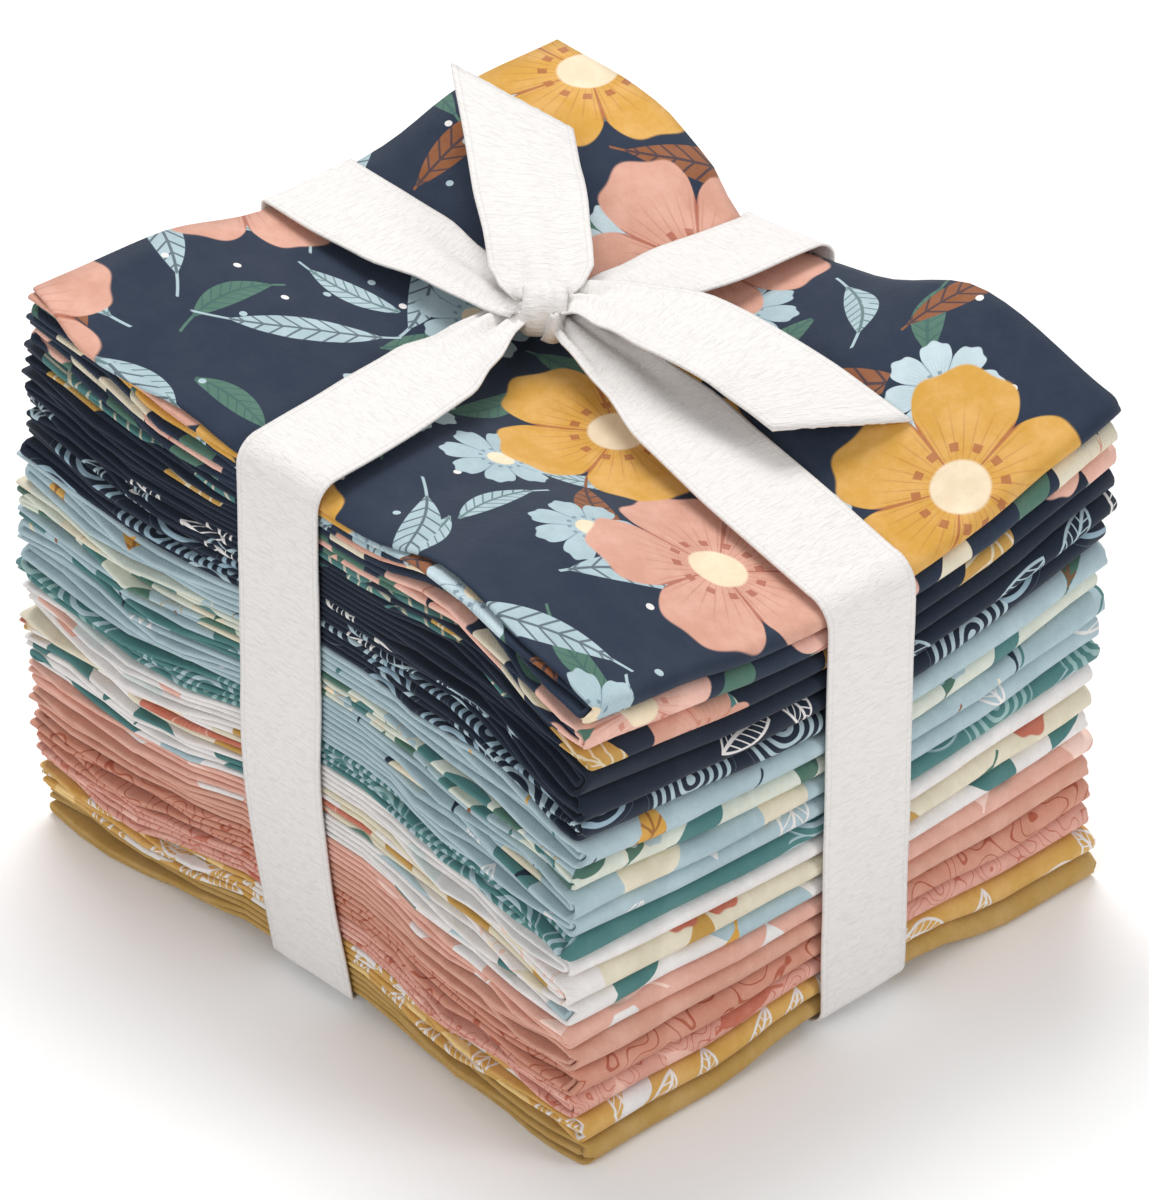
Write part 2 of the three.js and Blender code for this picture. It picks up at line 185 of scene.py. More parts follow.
def top_height(x, y):
    """Height of the top of the stack over a point of it."""
    column = clamp(x + MARGIN, 0, WIDTH + 2 * MARGIN - 1.001)
    row = clamp(y + MARGIN, 0, DEPTH + 2 * MARGIN - 1.001)
    i, j = int(column), int(row)
    low = lerp(HEIGHTS[j][i], HEIGHTS[j][i + 1], column - i)
    high = lerp(HEIGHTS[j + 1][i], HEIGHTS[j + 1][i + 1], column - i)
    return lerp(low, high, row - j)


def tied(line, value):
    """How strongly the ribbon holds the stack at a place along one way."""
    i, part = span_of([at for at, _ in line], value)
    return lerp(line[i][1], line[i + 1][1], smooth(part))


KNOT = (65.7, 82.4, 98.7)  # the middle of the knot, where the straps cross
LEDGE = 3.2  # how unevenly the folded edges of the layers line up on the left side
LEDGE_RIGHT = 0.3  # the share of it that shows on the right side
SIDE_REACH, FOLD_REACH = 7, 10  # how far in from a side, or from the folds, unevenness shows
DROOP_SIDE, DROOP_FOLD = 2.4, 1.6  # how far a strap bends the top's edge down
DIP = 1.9  # how far the knot presses the top down
CREASE = 0.9  # how high the creases stand that run out from the knot


def wave(height, *place):
    """Smooth noise of a height, at a place counted in the wave's own lengths."""
    return height * noise.noise(Vector(place))


def rumpled(x, y, z):
    """A point of the cloth moved by the small waves that folding and tying leave in the stack.
    The waves are one field through all the cloth, so layers that move keep their gaps."""
    tie_x, tie_y = tied(ACROSS, x), tied(ALONG, y)
    free = 1 - max(tie_x, tie_y)
    near_side = math.exp(-max(x, 0) / SIDE_REACH) * (1 - tie_y)
    near_fold = math.exp(-max(y, 0) / FOLD_REACH) * (1 - tie_x)
    off_table = clamp(z / 12)
    # each wave's height, then its lengths, and where it has a third number, its own noise
    rise = wave(0.6, x / 26, y / 26, z / 14) * free * off_table
    rise += wave(0.55, y / 10, z / 5, 5.3) * near_side * off_table
    rise += wave(0.4, x / 15, z / 6, 7.7) * near_fold * off_table
    rise += wave(0.42, y / 23, z / 2.3, 9.1) * near_side * clamp(z / 6)
    aside = wave(0.9, y / 40, z / 5.5, 6.4) * near_side
    ahead = wave(0.9, x / 24, z / 4.5, 8.2) * near_fold
    strapped = (z / HEIGHT) ** 4
    rise -= DROOP_SIDE * math.exp(-max(min(x, WIDTH - x) - 0.5, 0) / 2) * tie_y * strapped
    rise -= DROOP_FOLD * math.exp(-max(y, 0) / 4) * tie_x * strapped
    reach = math.hypot(x - KNOT[0], y - KNOT[1])
    near_top = (z / HEIGHT) ** 5
    rise -= DIP * math.exp(-((reach / 11) ** 2)) * near_top
    if reach > 1:
        way_x, way_y = (x - KNOT[0]) / reach, (y - KNOT[1]) / reach
        crease = wave(CREASE, way_x * 2.6, way_y * 2.6, 4.4)
        rise += crease * math.exp(-(((reach - 26) / 17) ** 2)) * near_top * free
    return x - aside, y - ahead, z + rise


def arc(place, level, radius, start, end, steps):
    """Points round a turn, from one angle to another, with the way each one faces."""
    points = []
    for i in range(steps + 1):
        angle = math.radians(lerp(start, end, i / steps))
        points.append(
            (place + radius * math.cos(angle), level + radius * math.sin(angle),
             math.cos(angle), math.sin(angle))
        )
    return points


def with_lengths(points):
    """Each point with the length of cloth up to it."""
    length = 0
    result = [(*points[0], 0)]
    for last, point in zip(points, points[1:]):
        length += math.hypot(point[0] - last[0], point[1] - last[1])
        result.append((*point, length))
    return result


def plies_across(ply, stops):
    """The four nested plies of a layer, seen along y, from the cut edge to the selvage:
    (x, height off the layer's middle, length of cloth)."""
    pitch = ply / PLIES
    edge = 1.5 * pitch
    run = [edge] + [x for x in stops if x > edge + 0.3]
    inner = [(x, z) for x, z, _, _ in arc(edge, 0, pitch / 2, 90, 270, 2)][1:-1]
    outer = [(x, z) for x, z, _, _ in arc(edge, 0, edge, 270, 90, 6)][1:-1]
    far = [(x, z) for x, z, _, _ in arc(WIDTH - pitch, -pitch, pitch / 2, 90, -90, 2)][1:-1]
    short = [min(x, WIDTH - pitch) for x in run]
    points = [(x, pitch / 2) for x in reversed(run)]
    points += inner
    points += [(x, -pitch / 2) for x in short]
    points += far
    points += [(x, -edge) for x in reversed(short)]
    points += outer
    points += [(x, edge) for x in run]
    return with_lengths(points)


def layers_along(thick, stops):
    """The way of a layer through its folds, seen along x: (y, level, the way its outer side
    faces along y and up, length of cloth)."""
    ply = (thick - (LAYERS - 1) * PLY_GAP) / LAYERS
    pitch = ply + PLY_GAP
    middle = thick / 2
    back_turn = DEPTH - ply - PLY_GAP / 2
    inside = [y for y in stops if y < back_turn - 1]

    def flat(places, layer, faces):
        return [(y, ply / 2 + layer * pitch, 0, faces) for y in places]

    def turned(points, faces):
        return [(y, level, faces * out_y, faces * out_up) for y, level, out_y, out_up in points]

    whole = [FOLD] + inside + [DEPTH]
    held = [FOLD] + inside + [back_turn]
    way = flat(reversed(whole), 3, 1)
    way += turned(arc(FOLD, middle, middle - ply / 2, 90, 270, 10)[1:-1], 1)
    way += flat(held, 0, -1)
    way += turned(arc(back_turn, (pitch + ply) / 2, pitch / 2, -90, 90, 4)[1:-1], 1)
    way += flat(reversed(held), 1, 1)
    way += turned(arc(FOLD, middle, pitch / 2, 270, 90, 4)[1:-1], -1)
    way += flat(whole, 2, -1)
    return with_lengths(way)


def ledge(base, within, pitch, y):
    """How far one layer's folded edge stands out past its neighbours, at a place along it."""
    layer = int(within / pitch)
    held = 1 - PLY_GAP / pitch  # each layer keeps one offset, and changes to the next in its gap
    change = smooth((within / pitch - layer - held) / (1 - held))
    # neighbouring layers read parts of the noise that lie far from each other
    near, after = (wave(LEDGE, y / 22, base * 1.7 + k * 3.3, 3.1) for k in (layer, layer + 1))
    return lerp(near, after, change)


def cloth_point(sides, base, pitch, x, off, stop):
    """Where a point of a folded cut lies in the tied stack."""
    left, right, front, back = sides
    y = stop[0] + off * stop[2]
    within = stop[1] + off * stop[3]
    level = base + within
    tie_x, tie_y = tied(ACROSS, x), tied(ALONG, y)
    lift = GROOVE * max(tie_x, tie_y)
    z = lerp(lift, top_height(x, y), level / HEIGHT)
    # each side is pushed out or drawn in, less and less up to the lobe's line
    push_left = lerp(left, -PINCH, tie_y) * clamp(1 - x / LEFT_LOBE)
    push_right = lerp(right, -PINCH, tie_y) * clamp((x - RIGHT_LOBE) / (WIDTH - RIGHT_LOBE))
    uneven = ledge(base, within, pitch, y) * (1 - tie_y)
    push_left += uneven * math.exp(-max(x, 0) / SIDE_REACH)
    push_right += LEDGE_RIGHT * uneven * math.exp(-max(WIDTH - x, 0) / SIDE_REACH)
    push_front = lerp(front, -PINCH, tie_x) * clamp((FRONT_LOBE - y) / (FRONT_LOBE - FOLD))
    push_back = lerp(back, -PINCH, tie_x) * clamp((y - BACK_LOBE) / (DEPTH - 2 - BACK_LOBE))
    return placed(*rumpled(x - push_left + push_right, y - push_front + push_back, z))


# ---- Making sheets ----


def new_object(name, data):
    item = bpy.data.objects.new(name, data)
    bpy.context.collection.objects.link(item)
    return item


def finished(bm, name, material):
    """The object of a bmesh, with its material."""
    mesh = bpy.data.meshes.new(name)
    bm.to_mesh(mesh)
    bm.free()
    mesh.materials.append(material)
    return new_object(name, mesh)


def new_sheet(name, columns, rows, place, flat_place, thickness, material):
    """A sheet of cloth from a flat grid. place gives where a grid point goes, and flat_place
    its own place on the flat cloth in millimetres, which the prints and the weave follow."""
    bm = bmesh.new()
    uv = bm.loops.layers.uv.new("flat_cloth")
    bmesh.ops.create_grid(bm, x_segments=columns - 1, y_segments=rows - 1, size=0.5)
    where = {
        vert: (round((vert.co.x + 0.5) * (columns - 1)), round((vert.co.y + 0.5) * (rows - 1)))
        for vert in bm.verts
    }
    for face in bm.faces:
        face.smooth = True
        for loop in face.loops:
            u, v = flat_place(*where[loop.vert])
            loop[uv].uv = (u / UV_SPAN, v / UV_SPAN)
    for vert, (i, j) in where.items():
        vert.co = place(i, j)
    piece = finished(bm, name, material)
    wall = piece.modifiers.new("thickness", "SOLIDIFY")
    wall.thickness = thickness
    wall.offset = 0
    return piece


def stand_in_for(piece, node):
    """Puts a piece under the root body, and hides the solid of the frame that it stands in for."""
    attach(piece, "root")
    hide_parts(node)


# ---- Nodes ----

MATH, VECTOR, MIX, RANGE, PARTS, NOISE, GROUP = (
    "ShaderNodeMath", "ShaderNodeVectorMath", "ShaderNodeMix", "ShaderNodeMapRange",
    "ShaderNodeSeparateXYZ", "ShaderNodeTexNoise", "ShaderNodeGroup",
)
SOFT = {"interpolation_type": "SMOOTHSTEP"}  # a range with a smooth edge
COLOURS = {"data_type": "RGBA"}  # a mix of two colours
TIMES, MINUS, LARGER = ({"operation": name} for name in ("MULTIPLY", "SUBTRACT", "MAXIMUM"))


def linear(colour):
    """An sRGB hex colour as linear red, green, blue and alpha."""
    parts = [int(colour[i : i + 2], 16) / 255 for i in (1, 3, 5)]
    return (*[p / 12.92 if p <= 0.04045 else ((p + 0.055) / 1.055) ** 2.4 for p in parts], 1)


def add_node(tree, kind, *values, named=None, **settings):
    """Adds a node with its settings. Its inputs come in order or by name: each is a value, an
    sRGB hex colour, another node's socket, or a node that stands for its own first result."""
    node = tree.nodes.new(kind)
    for key, value in settings.items():
        setattr(node, key, value)
    shown = [socket for socket in node.inputs if socket.enabled]
    inputs = list(zip(shown, values))
    inputs += [(node.inputs[key], value) for key, value in (named or {}).items()]
    for socket, value in inputs:
        if isinstance(value, bpy.types.Node):
            value = next(result for result in value.outputs if result.enabled)
        if isinstance(value, bpy.types.NodeSocket):
            tree.links.new(value, socket)
        else:
            socket.default_value = linear(value) if isinstance(value, str) else value
    return node


def start_group(name, inputs, results):
    """A node group with its sockets, the call that adds a node to it, and its inputs."""
    tree = bpy.data.node_groups.new(name, "ShaderNodeTree")
    for socket in inputs:
        kind = "NodeSocketVector" if socket in ("Place", "Local", "Seed") else "NodeSocketFloat"
        tree.interface.new_socket(socket, in_out="INPUT", socket_type=kind)
    for socket in results:
        kind = "NodeSocketVector" if socket == "Local" else "NodeSocketFloat"
        tree.interface.new_socket(socket, in_out="OUTPUT", socket_type=kind)
    add = functools.partial(add_node, tree)
    return tree, add, add("NodeGroupInput").outputs


def scatter_group():
    """Gives each cell of a loose scatter over the cloth its own centre, turn and chances."""
    tree, add, given = start_group(
        "scatter", ("Place", "Spacing", "Looseness", "Seed"), ("Local", "Chance", "Chance 2")
    )
    inverse = add(MATH, 1.0, given["Spacing"], operation="DIVIDE")
    scaled = add(VECTOR, given["Place"], inverse, operation="SCALE")
    moved = add(VECTOR, scaled, given["Seed"], operation="ADD")
    cells = add(
        "ShaderNodeTexVoronoi", voronoi_dimensions="2D",
        named={"Vector": moved, "Scale": 1.0, "Randomness": given["Looseness"]},
    )
    offset = add(VECTOR, moved, cells.outputs["Position"], **MINUS)
    back = add(VECTOR, offset, given["Spacing"], operation="SCALE")
    chances = add("ShaderNodeSeparateColor", cells.outputs["Color"])
    turn = add(MATH, chances.outputs[2], math.tau, **TIMES)
    turned = add(
        "ShaderNodeVectorRotate", named={"Vector": back, "Angle": turn}, rotation_type="Z_AXIS"
    )
    add("NodeGroupOutput", turned, chances.outputs[0], chances.outputs[1])
    return tree


def bloom_group():
    """A plain open flower seen from above: rounded petals, a ring of dots and a round eye."""
    tree, add, given = start_group("bloom", ("Local", "Radius", "Petals"), ("Mask", "Lines", "Eye"))
    parts = add(PARTS, given["Local"]).outputs
    angle = add(MATH, parts[1], parts[0], operation="ARCTAN2")
    length = add(VECTOR, given["Local"], operation="LENGTH")
    reach = add(MATH, length, given["Radius"], operation="DIVIDE")
    half_petals = add(MATH, given["Petals"], 0.5, **TIMES)
    turn = add(MATH, angle, half_petals, **TIMES)
    swell = add(MATH, add(MATH, turn, operation="COSINE"), operation="ABSOLUTE")
    # the rim goes from 0.6 of the radius between the petals to all of it at their tips
    rim = add(MATH, add(MATH, swell, 0.5, operation="POWER"), 0.4, 0.6, operation="MULTIPLY_ADD")
    notch = add(MATH, add(MATH, turn, 6.0, **TIMES), operation="COSINE")
    rim = add(MATH, notch, 0.025, rim, operation="MULTIPLY_ADD")
    inside = add(MATH, rim, reach, **MINUS)
    mask = add(RANGE, inside, 0.0, 0.03, **SOFT)
    seam = add(RANGE, swell, 0.12, 0.04, **SOFT)
    fine = add(MATH, add(MATH, turn, 14.0, **TIMES), operation="COSINE")
    fade = add(RANGE, reach, 0.75, 0.35, 0.0, 0.45, **SOFT)
    streaks = add(MATH, add(RANGE, fine, 0.75, 0.98, **SOFT), fade, **TIMES)
    seam = add(MATH, seam, streaks, **LARGER)
    many = add(MATH, add(MATH, angle, 12.0, **TIMES), operation="COSINE")
    ring = add(MATH, reach, 0.33, 0.035, operation="COMPARE")
    dots = add(MATH, add(RANGE, many, 0.2, 0.5, **SOFT), ring, **TIMES)
    eye = add(RANGE, reach, 0.24, 0.21, **SOFT)
    add("NodeGroupOutput", mask, add(MATH, seam, dots, **LARGER), eye)
    return tree


def leaf_group():
    """A pointed leaf along the local x axis, with its outline and veins."""
    tree, add, given = start_group(
        "leaf", ("Local", "Length", "Width", "Stalk"), ("Mask", "Veins", "Outline")
    )
    parts = add(PARTS, given["Local"]).outputs
    place = add(MATH, parts[0], given["Length"], operation="DIVIDE")
    squared = add(MATH, place, place, **TIMES)
    bow = add(MATH, given["Length"], -0.16, **TIMES)
    across = add(MATH, squared, bow, parts[1], operation="MULTIPLY_ADD")
    across = add(MATH, across, operation="ABSOLUTE")
    taper = add(MATH, add(MATH, 1.0, squared, **MINUS), given["Width"], **TIMES)
    inside = add(MATH, taper, across, **MINUS)
    mask = add(RANGE, inside, 0.0, 0.15, **SOFT)
    core = add(RANGE, inside, 0.45, 0.7, **SOFT)
    outline = add(MATH, mask, core, **MINUS)
    slant = add(MATH, parts[0], across, **MINUS)
    rate = add(MATH, 26.0, given["Length"], operation="DIVIDE")
    ribs = add(MATH, add(MATH, slant, rate, **TIMES), operation="SINE")
    ribs = add(RANGE, ribs, 0.72, 0.95, **SOFT)
    midrib = add(RANGE, across, 0.35, 0.2, **SOFT)
    veins = add(MATH, add(MATH, ribs, midrib, **LARGER), mask, **TIMES)
    near = add(RANGE, add(MATH, place, operation="ABSOLUTE"), 1.45, 1.4, **SOFT)
    stem = add(MATH, add(MATH, near, given["Stalk"], **TIMES), midrib, **TIMES)
    add("NodeGroupOutput", add(MATH, mask, stem, **LARGER), veins, outline)
    return tree


# ---- Prints ----

NAVY, INK, CREAM, MILK = "#273244", "#1f2837", "#d8cfb8", "#dfdbd9"
MUSTARD, OCHRE, SKY, TEAL, GREEN = "#cf9c44", "#b98f45", "#a5bac1", "#4b7a79", "#4f7264"
RUST, CLAY, SALMON, PINK, SLATE = "#8a5433", "#bd6c56", "#cf9a86", "#e0b0a0", "#5f7789"
EYE_TONE = "#e6d3b4"
LOOSENESS = 0.55  # how far the motifs stray from even rows, from 0 to 1

# Each print's ground, then its layers of motifs from the lowest up:
# kind, spacing, size, width or petals, two tones, line tone, share of cells filled, seed
PRINTS = (
    (NAVY, (
        ("leaf", 21, 9, 2.8, GREEN, SKY, "#3e5f5c", 0.75, 1.3),
        ("leaf", 29, 13, 3.4, SKY, RUST, NAVY, 0.8, 7.1),
        ("berry", 9, 0.7, 0, MILK, SKY, MILK, 0.2, 3.3),
        ("bloom", 32, 10, 8, SKY, "#b9cbd1", SLATE, 0.55, 5.2),
        ("bloom", 58, 22, 5, SALMON, MUSTARD, "#9c4c34", 0.95, 2.45),
    )),
    (NAVY, (
        ("blade", 16, 8, 3.6, GREEN, CREAM, NAVY, 0.8, 2.2),
        ("bloom", 34, 15, 5, PINK, CREAM, CLAY, 0.9, 8.4),
    )),
    (INK, (
        ("leaf", 30, 14, 5.0, TEAL, OCHRE, CREAM, 0.85, 4.6),
        ("bloom", 46, 12, 5, PINK, SALMON, CLAY, 0.5, 6.1),
    )),
    (INK, ()),
    (INK, (("outline", 15, 7, 3.0, MILK, SKY, MILK, 0.9, 3.7),)),
    (INK, (("fan", 19, 9.5, 0, "#8fa9b8", SKY, INK, 0.95, 5.5),)),
    (SKY, (
        ("blade", 22, 8, 1.2, NAVY, TEAL, NAVY, 0.6, 3.9),
        ("leaf", 34, 15, 4.2, MUSTARD, GREEN, RUST, 0.75, 9.3),
    )),
    ("#cfd3c6", (
        ("blade", 12, 6, 2.6, GREEN, TEAL, MILK, 0.8, 1.9),
        ("bloom", 21, 6, 5, CREAM, SKY, OCHRE, 0.6, 6.6),
    )),
    ("#a3b9c0", (
        ("blade", 26, 13, 5.2, TEAL, CREAM, "#87a7b0", 0.85, 7.9),
        ("blade", 17, 6, 1.1, RUST, NAVY, NAVY, 0.4, 2.8),
    )),
    (SKY, (("outline", 17, 8, 3.4, MILK, MILK, MILK, 0.9, 5.1),)),
    (TEAL, (("fan", 16, 8, 0, SKY, "#8fb0ae", TEAL, 0.85, 4.2),)),
    (MILK, (("blade", 24, 11, 4.6, PINK, "#cdd4d2", MILK, 0.7, 8.8),)),
    (CREAM, (
        ("blade", 22, 8, 3.4, OCHRE, GREEN, CREAM, 0.5, 1.1),
        ("bloom", 32, 13, 6, CLAY, MILK, PINK, 0.85, 3.2),
    )),
    (MILK, (
        ("blade", 24, 12, 5.2, TEAL, SKY, MILK, 0.8, 6.9),
        ("blade", 36, 9, 3.0, RUST, MUSTARD, RUST, 0.5, 2.6),
    )),
    ("#d9a594", (("blade", 17, 8, 4.4, MILK, "#eccabd", "#dba897", 0.75, 9.9),)),
    (SALMON, ()),
    ("#c98c76", (("lines", 11, 0, 0, "#a9583f", "#a9583f", "#a9583f", 1, 3.0),)),
    ("#d59c8c", (
        ("lines", 7, 0, 0, CLAY, CLAY, CLAY, 1, 5.8),
        ("blade", 14, 6, 2.8, CLAY, PINK, "#d9a090", 0.6, 4.4),
    )),
    ("#cc9f52", (
        ("outline", 10, 6, 2.5, MILK, MILK, MILK, 0.95, 7.4),
        ("blade", 14, 6, 2.4, MILK, "#e2c27f", "#cc9f52", 0.6, 2.1),
    )),
    ("#b5914f", ()),
)


def cloth_place(add):
    """A place on the flat cloth, in millimetres."""
    flat = add("ShaderNodeUVMap", uv_map="flat_cloth")
    return add(VECTOR, flat, float(UV_SPAN), operation="SCALE")


def motif(add, groups, kind, local, size, width, fill, line):
    """One kind of motif in its cell: where it is drawn, and its colour."""
    if kind == "bloom":
        bloom = add(
            GROUP, node_tree=groups["bloom"],
            named={"Local": local, "Radius": size, "Petals": width},
        ).outputs
        soft_lines = add(MATH, bloom["Lines"], 0.7, **TIMES)
        fill = add(MIX, soft_lines, fill, line, **COLOURS)
        return bloom["Mask"], add(MIX, bloom["Eye"], fill, EYE_TONE, **COLOURS)
    if kind in ("leaf", "blade", "outline"):
        leaf = add(
            GROUP, node_tree=groups["leaf"],
            named={
                "Local": local, "Length": size, "Width": width,
                "Stalk": float(kind != "outline"),
            },
        ).outputs
        if kind == "outline":
            return add(MATH, leaf["Outline"], leaf["Veins"], **LARGER), fill
        if kind == "leaf":
            veins = add(MATH, leaf["Veins"], 0.75, **TIMES)
            fill = add(MIX, veins, fill, line, **COLOURS)
        return leaf["Mask"], fill
    reach = add(VECTOR, local, operation="LENGTH")
    if kind == "fan":  # rings 1.85 mm apart
        rings = add(MATH, add(MATH, reach, 3.4, **TIMES), operation="SINE")
        fill = add(MIX, add(RANGE, rings, 0.0, 0.35, **SOFT), line, fill, **COLOURS)
    return add(RANGE, reach, size, size * 0.94, **SOFT), fill


def printed(add, groups, place, ground, layers):
    """The colour of a printed cotton, its motifs laid over the ground one layer at a time."""
    colour = ground
    for kind, spacing, size, width, tone, other, line, share, seed in layers:
        if kind == "lines":
            warp = add(
                NOISE, noise_dimensions="2D",
                named={"Vector": place, "Scale": 1 / spacing, "Detail": 1.0},
            )
            levels = add(MATH, warp, 9.0, **TIMES)
            loops = add(MATH, levels, 0.5, operation="PINGPONG")
            drawn = add(RANGE, loops, 0.09, 0.04, **SOFT)
            colour = add(MIX, drawn, colour, tone, **COLOURS)
            continue
        cells = add(
            GROUP, node_tree=groups["scatter"],
            named={
                "Place": place, "Spacing": spacing, "Looseness": LOOSENESS,
                "Seed": (seed, seed * 1.7, 0),
            },
        ).outputs
        picked = add(MATH, cells["Chance"], share, operation="LESS_THAN")
        which = add(MATH, cells["Chance 2"], 0.5, operation="GREATER_THAN")
        fill = add(MIX, which, tone, other, **COLOURS)
        drawn, fill = motif(add, groups, kind, cells["Local"], size, width, fill, line)
        drawn = add(MATH, drawn, picked, **TIMES)
        colour = add(MIX, drawn, colour, fill, **COLOURS)
    return colour


def new_material(name):
    """An empty material, and the call that adds a node to it."""
    material = bpy.data.materials.new(name)
    material.use_nodes = True
    material.node_tree.nodes.clear()
    return material, functools.partial(add_node, material.node_tree)


def printed_cotton(number, groups):
    """Quilting cotton: a plain weave printed on its face, so matte, with a faint bloom of loose
    fibre that catches light at its edges."""
    ground, layers = PRINTS[number - 1]
    material, add = new_material(f"printed_cotton_{number:02d}")
    place = cloth_place(add)
    colour = printed(add, groups, place, ground, layers)
    # slight fading and lint, so no patch is one flat colour
    clouds = add(
        NOISE, noise_dimensions="2D",
        named={"Vector": place, "Scale": 0.12, "Detail": 6.0, "Roughness": 0.7},
    )
    shade = add(RANGE, clouds, 0.3, 0.75, **SOFT)
    lighter = add(
        "ShaderNodeHueSaturation", named={"Saturation": 0.9, "Value": 1.16, "Color": colour}
    )
    colour = add(MIX, shade, colour, lighter, **COLOURS)
    # threads run 3 to the millimetre, too fine for the view, so they are drawn at 0.7 mm
    parts = add(PARTS, place).outputs
    weave = [
        add(MATH, add(MATH, part, math.pi / 0.35, **TIMES), operation="SINE")
        for part in parts[:2]
    ]
    slubs = add(
        NOISE, noise_dimensions="2D", named={"Vector": place, "Scale": 1.1, "Detail": 3.0}
    )
    threads = add(MATH, weave[0], weave[1], **TIMES)
    height = add(MATH, threads, 0.35, slubs, operation="MULTIPLY_ADD")
    bump = add("ShaderNodeBump", named={"Strength": 0.5, "Distance": 0.00008, "Height": height})
    surface = add(
        "ShaderNodeBsdfPrincipled",
        named={
            "Base Color": colour, "Roughness": 0.9, "Normal": bump,
            "Sheen Weight": 0.08, "Sheen Roughness": 0.5, "Specular IOR Level": 0.2,
        },
    )
    add("ShaderNodeOutputMaterial", surface)
    return material


FIRM_LINE = 8.7  # from the ribbon's middle to the firm line along each edge


def crinkled_ribbon(name, colour):
    """Cotton ribbon with a crepe weave: its twisted threads draw up into fine short wrinkles that
    run across it, its edges are woven firm in a narrow line, and its surface stays matte."""
    material, add = new_material(name)
    place = cloth_place(add)
    # wrinkles about 0.6 mm apart and 2.5 mm long
    stretched = add("ShaderNodeMapping", named={"Vector": place, "Scale": (0.4, 1.7, 1)})
    wrinkles = add(
        NOISE, noise_dimensions="2D",
        named={
            "Vector": stretched, "Scale": 1.0, "Detail": 2.0, "Roughness": 0.55,
            "Distortion": 0.9,
        },
    )
    across = add(PARTS, place)
    off_middle = add(MATH, add(MATH, across, RIBBON_WIDE / 2, **MINUS), operation="ABSOLUTE")
    firm = add(MATH, off_middle, FIRM_LINE, 0.13, operation="COMPARE")
    height = add(MATH, firm, -0.25, wrinkles, operation="MULTIPLY_ADD")
    bump = add("ShaderNodeBump", named={"Strength": 0.8, "Distance": 0.00025, "Height": height})
    # painted shade: the colour darkens down to 0.92 of itself where the wrinkles and the firm edge
    # lines lie low
    shade = add(RANGE, height, 0.25, 0.55, 0.92, 1.0, **SOFT)
    tone = add("ShaderNodeHueSaturation", named={"Value": shade, "Color": colour})
    surface = add(
        "ShaderNodeBsdfPrincipled",
        named={
            "Base Color": tone, "Roughness": 0.8, "Normal": bump,
            "Sheen Weight": 0.15, "Sheen Roughness": 0.5, "Specular IOR Level": 0.3,
        },
    )
    add("ShaderNodeOutputMaterial", surface)
    return material


# ---- The ribbon's way ----

STRAP_LEFT = (  # x, y, z, width, long pleat, roll in degrees; the first row is in the knot
    (63.4, 84.6, 98.4, 6.8, 0.2, 0),
    (59.9, 85.1, 98.1, 8.2, 0.4, 0),
    (50, 83.2, 98, 13, 0.5, 0),
    (40, 81, 98.5, 18.5, 0.2, 0),
    (22, 77.5, 99.7, RIBBON_WIDE, 0, 0),
)
STRAP_RIGHT = (
    (96, 76.5, 96.9, RIBBON_WIDE, 0, 8),
    (84, 78, 97.5, 15, 0.4, 4),
    (71.9, 80.5, 98.4, 6.8, 0.4, 0),
    (68.6, 81.2, 98.8, 5.6, 0.2, 0),
)
STRAP_FRONT = (
    (67.4, 79.8, 97.9, 7, 0.2, 0),
    (67.2, 74.4, 96.9, 9.8, 0.3, 0),
    (66.3, 62, 95.2, 14, 0.5, 0),
    (64.5, 48, 93.6, 18.5, 0.1, 0),
    (62.5, 28, 91.1, RIBBON_WIDE, 0, 0),
)
STRAP_BACK = (
    (60.5, 124, 101.3, RIBBON_WIDE, 0, 0),
    (61.5, 112, 100.4, 18.5, 0.1, 0),
    (62.5, 100, 99.4, 13.5, 0.5, 0),
    (62.9, 88, 99, 10.8, 0.4, 0),
    (64.1, 83.6, 99, 9.6, 0.2, 0),
)
TAIL_BACK = (  # the same, with how far one side leads the other
    (66, 82.8, 99.8, 9, 0.3, 0, 0),
    (67.4, 84.5, 101, 14, 0.6, 0, 0),
    (70, 87.4, 102.3, 17.6, 0.6, 1, 0),
    (74, 92.5, 104, 18, 0.3, 4, 0),
    (81, 102, 105.8, RIBBON_WIDE, 0.1, 8, 0),
    (89, 113, 107.6, RIBBON_WIDE, 0, 12, 8),
    (95, 121.5, 109.6, RIBBON_WIDE, 0, 12, 14),
)
TAIL_FRONT = (
    (67.4, 80.9, 99.2, 7, 0.3, 0, 0),
    (69.9, 78.2, 100.4, 9.4, 0.6, 0, 0),
    (73, 71, 101.1, 15, 0.3, 0, 0),
    (75.5, 60, 102, RIBBON_WIDE, 0.1, 0, 0),
    (77, 48, 101.5, RIBBON_WIDE, 0, 0, 0),
    (78.5, 37, 99.4, RIBBON_WIDE, 0, 3, 8),
    (80, 26, 96.3, RIBBON_WIDE, 0, 5, 14),
)
EDGE_LEFT = (74.8, 100.2)  # where a strap's middle crosses the edge, and how high
LEFT_FOOT = 67.9  # its middle at the bottom, where it slants toward the folds
EDGE_RIGHT = (75.5, 95)
EDGE_FRONT = (61.6, 85.9)
EDGE_BACK = (60, 101.2)
RIGHT_ROLL = 11  # degrees that the band has rolled once it is over the right edge
TILT_START = 2  # how much lower the first row of that roll lies
RIBBON_OFF = 0.9  # the ribbon's middle, off the cloth
UNDER_DROP = 1.35  # how far the long band drops under the cross band
UNDERPASS = ((22, 0), (44, 0), (49, UNDER_DROP), (77, UNDER_DROP), (82, 0), (100, 0))  # x, drop
BEND_LEFT, BEND_RIGHT, BEND_FRONT = 4.5, 3, 5.2  # how softly the ribbon rounds each edge
